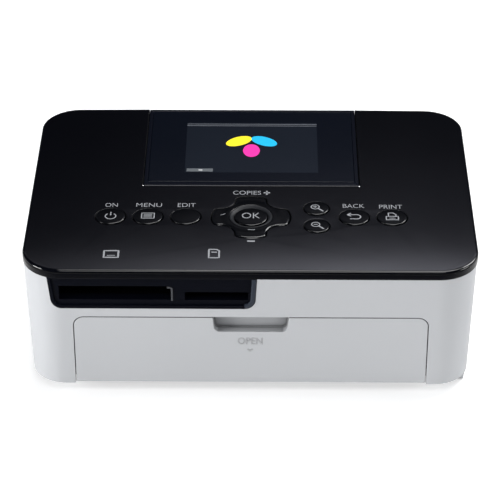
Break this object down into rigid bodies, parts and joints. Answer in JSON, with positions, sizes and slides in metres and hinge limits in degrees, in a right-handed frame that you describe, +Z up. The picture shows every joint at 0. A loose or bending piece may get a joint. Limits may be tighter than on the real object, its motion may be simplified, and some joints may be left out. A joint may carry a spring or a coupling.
{
  "type": "compact photo printer",
  "caption": "Compact dye-sublimation photo printer with a tilting screen, round keys, a rocking cross key, card slots, a paper door in front and an ink door on the side.",
  "frame": {"origin": "middle of the footprint on the table", "axes": "+X to the printer's right as seen from the front, +Y to the back, +Z up"},
  "size_m": [0.178, 0.127, 0.0605],
  "materials": {
    "white_shell": "satin moulded",
    "grey_base": "satin moulded",
    "foot_rubber": "matte",
    "zinc_steel": "zinc plated",
    "gloss_black": "piano black",
    "navy_bezel": "dark gloss",
    "window": "polished window",
    "screen_glass": "display panel",
    "key_black": "glossy keys",
    "ring_grey": "satin metallic paint",
    "dark_plastic": "moulded",
    "keypad_rubber": "silicone",
    "circuit_board": "solder mask",
    "roller_rubber": "ground rubber",
    "roller_steel": "ground steel",
    "acetal": "natural acetal",
    "ink_case": "translucent grey",
    "ink_film": "ink film",
    "spool_plastic": "moulded",
    "heatsink": "extruded",
    "ceramic": "glazed",
    "motor_steel": "drawn can"
  },
  "bodies": {
    "body": {"body_shell": "white_shell", "base_plate": "grey_base", "rubber_feet": "foot_rubber", "case_screws": "zinc_steel", "top_cover": "gloss_black", "card_bezel": "navy_bezel", "key_frame": "dark_plastic", "rubber_keypad": "keypad_rubber", "key_board": "circuit_board", "dome_switches": "zinc_steel", "tray_bay": "dark_plastic", "chassis_left_plate": "zinc_steel", "chassis_right_plate": "zinc_steel", "chassis_rear_tie": "zinc_steel", "gear_plate": "zinc_steel", "paper_guide": "dark_plastic", "feed_motor": "motor_steel", "main_board": "circuit_board", "wide_card_reader": "zinc_steel", "small_card_reader": "zinc_steel", "power_board": "circuit_board", "power_jack": "dark_plastic"},
    "screen": {"screen_housing": "gloss_black", "screen_window": "window", "lcd_module": "screen_glass", "screen_hinge_pins": "zinc_steel"},
    "nav_ring": {"nav_pivot_ring": "dark_plastic"},
    "nav_pad": {"nav_pad": "key_black", "ok_ring": "ring_grey"},
    "paper_door": {"paper_door": "white_shell"},
    "ink_door": {"ink_door": "white_shell"},
    "ink_cassette": {"ink_cassette_case": "ink_case", "ink_ribbon": "ink_film"},
    "supply_spool": {"ink_supply_spool": "spool_plastic"},
    "takeup_spool": {"ink_takeup_spool": "spool_plastic"},
    "eject_lever": {"ink_eject_lever": "dark_plastic"},
    "platen": {"platen_roller": "roller_rubber"},
    "feed": {"feed_roller": "roller_steel", "feed_gear": "acetal"},
    "pinch": {"pinch_roller": "roller_rubber"},
    "pickup": {"pickup_roller": "roller_rubber", "pickup_gear": "acetal"},
    "print_head": {"thermal_head": "ceramic", "head_heatsink": "heatsink", "head_arm": "zinc_steel"},
    "pinion": {"motor_pinion": "acetal"},
    "idler": {"idler_gear": "acetal"},
    "takeup_drive": {"takeup_gear": "acetal"},
    "pickup_idler": {"pickup_idler_gear": "acetal"},
    "power_button": {"power_button": "key_black"},
    "menu_button": {"menu_button": "key_black"},
    "edit_button": {"edit_button": "key_black"},
    "zoom_in_button": {"zoom_in_button": "key_black"},
    "zoom_out_button": {"zoom_out_button": "key_black"},
    "back_button": {"back_button": "key_black"},
    "print_button": {"print_button": "key_black"},
    "ok_button": {"ok_button": "key_black"}
  },
  "joints": [
    {"name": "screen_tilt", "type": "hinge", "parent": "body", "child": "screen", "pos_m": [0, 0.0017, 0.0583], "axis": [1, 0, 0], "range_deg": [0, 45]},
    {"name": "paper_door_hinge", "type": "hinge", "parent": "body", "child": "paper_door", "pos_m": [0, -0.057, 0.009], "axis": [1, 0, 0], "range_deg": [0, 90]},
    {"name": "ink_door_hinge", "type": "hinge", "parent": "body", "child": "ink_door", "pos_m": [0.0823, 0, 0.007], "axis": [0, 1, 0], "range_deg": [0, 88]},
    {"name": "power_press", "type": "slide", "parent": "body", "child": "power_button", "axis": [0, 0, -1], "range_m": [0, 0.0005], "stiffness_N_per_m": 600},
    {"name": "menu_press", "type": "slide", "parent": "body", "child": "menu_button", "axis": [0, 0, -1], "range_m": [0, 0.0005], "stiffness_N_per_m": 600},
    {"name": "edit_press", "type": "slide", "parent": "body", "child": "edit_button", "axis": [0, 0, -1], "range_m": [0, 0.0005], "stiffness_N_per_m": 600},
    {"name": "zoom_in_press", "type": "slide", "parent": "body", "child": "zoom_in_button", "axis": [0, 0, -1], "range_m": [0, 0.0005], "stiffness_N_per_m": 600},
    {"name": "zoom_out_press", "type": "slide", "parent": "body", "child": "zoom_out_button", "axis": [0, 0, -1], "range_m": [0, 0.0005], "stiffness_N_per_m": 600},
    {"name": "back_press", "type": "slide", "parent": "body", "child": "back_button", "axis": [0, 0, -1], "range_m": [0, 0.0005], "stiffness_N_per_m": 600},
    {"name": "print_press", "type": "slide", "parent": "body", "child": "print_button", "axis": [0, 0, -1], "range_m": [0, 0.0005], "stiffness_N_per_m": 600},
    {"name": "ok_press", "type": "slide", "parent": "body", "child": "ok_button", "axis": [0, 0, -1], "range_m": [0, 0.0005], "stiffness_N_per_m": 600},
    {"name": "nav_rock_up_down", "type": "hinge", "parent": "body", "child": "nav_ring", "pos_m": [0.0001, -0.024, 0.05655], "axis": [1, 0, 0], "range_deg": [-2, 2], "stiffness_Nm_per_rad": 0.15},
    {"name": "nav_rock_left_right", "type": "hinge", "parent": "nav_ring", "child": "nav_pad", "pos_m": [0.0001, -0.024, 0.05655], "axis": [0, 1, 0], "range_deg": [-2, 2], "stiffness_Nm_per_rad": 0.15},
    {"name": "ink_cassette_pop", "type": "slide", "parent": "body", "child": "ink_cassette", "axis": [1, 0, 0], "range_m": [0, 0.0025]},
    {"name": "eject_lever_turn", "type": "hinge", "parent": "body", "child": "eject_lever", "pos_m": [0.061, -0.01251, 0.02], "axis": [1, 0, 0], "range_deg": [0, 20], "stiffness_Nm_per_rad": 0.02},
    {"name": "feed_roller_turn", "type": "hinge", "parent": "body", "child": "feed", "pos_m": [0, 0.05, 0.0205], "axis": [1, 0, 0], "continuous": true},
    {"name": "platen_turn", "type": "hinge", "parent": "body", "child": "platen", "pos_m": [0, 0.0205, 0.0175], "axis": [1, 0, 0], "continuous": true},
    {"name": "pinch_turn", "type": "hinge", "parent": "body", "child": "pinch", "pos_m": [0, 0.05, 0.0274], "axis": [1, 0, 0], "continuous": true},
    {"name": "pickup_turn", "type": "hinge", "parent": "body", "child": "pickup", "pos_m": [0, -0.01741, 0.03374], "axis": [1, 0, 0], "continuous": true},
    {"name": "motor_pinion_turn", "type": "hinge", "parent": "body", "child": "pinion", "pos_m": [-0.062, 0.0164, 0.0205], "axis": [1, 0, 0], "continuous": true},
    {"name": "idler_turn", "type": "hinge", "parent": "body", "child": "idler", "pos_m": [-0.062, 0.0305, 0.0205], "axis": [1, 0, 0], "continuous": true},
    {"name": "takeup_drive_turn", "type": "hinge", "parent": "body", "child": "takeup_drive", "pos_m": [-0.062, 0.036, 0.03606], "axis": [1, 0, 0], "continuous": true},
    {"name": "pickup_idler_turn", "type": "hinge", "parent": "body", "child": "pickup_idler", "pos_m": [-0.062, 0.0012, 0.02401], "axis": [1, 0, 0], "continuous": true},
    {"name": "takeup_spool_turn", "type": "hinge", "parent": "ink_cassette", "child": "takeup_spool", "pos_m": [0, 0.036, 0.03606], "axis": [1, 0, 0], "continuous": true},
    {"name": "supply_spool_turn", "type": "hinge", "parent": "ink_cassette", "child": "supply_spool", "pos_m": [0, 0.005, 0.03606], "axis": [1, 0, 0], "continuous": true},
    {"name": "print_head_lower", "type": "hinge", "parent": "body", "child": "print_head", "pos_m": [0, 0.054, 0.044], "axis": [1, 0, 0], "range_deg": [0, 2.5]}
  ],
  "couplings": [
    {"joint": "idler_turn", "follows": "feed_roller_turn", "ratio": -0.85714},
    {"joint": "motor_pinion_turn", "follows": "feed_roller_turn", "ratio": 2.5},
    {"joint": "takeup_drive_turn", "follows": "feed_roller_turn", "ratio": 1.5},
    {"joint": "takeup_spool_turn", "follows": "feed_roller_turn", "ratio": 1.5},
    {"joint": "pickup_idler_turn", "follows": "feed_roller_turn", "ratio": -0.75},
    {"joint": "pickup_turn", "follows": "feed_roller_turn", "ratio": 1},
    {"joint": "supply_spool_turn", "follows": "feed_roller_turn", "ratio": 1.125},
    {"joint": "platen_turn", "follows": "feed_roller_turn", "ratio": 0.58333},
    {"joint": "pinch_turn", "follows": "feed_roller_turn", "ratio": -1.1667}
  ]
}
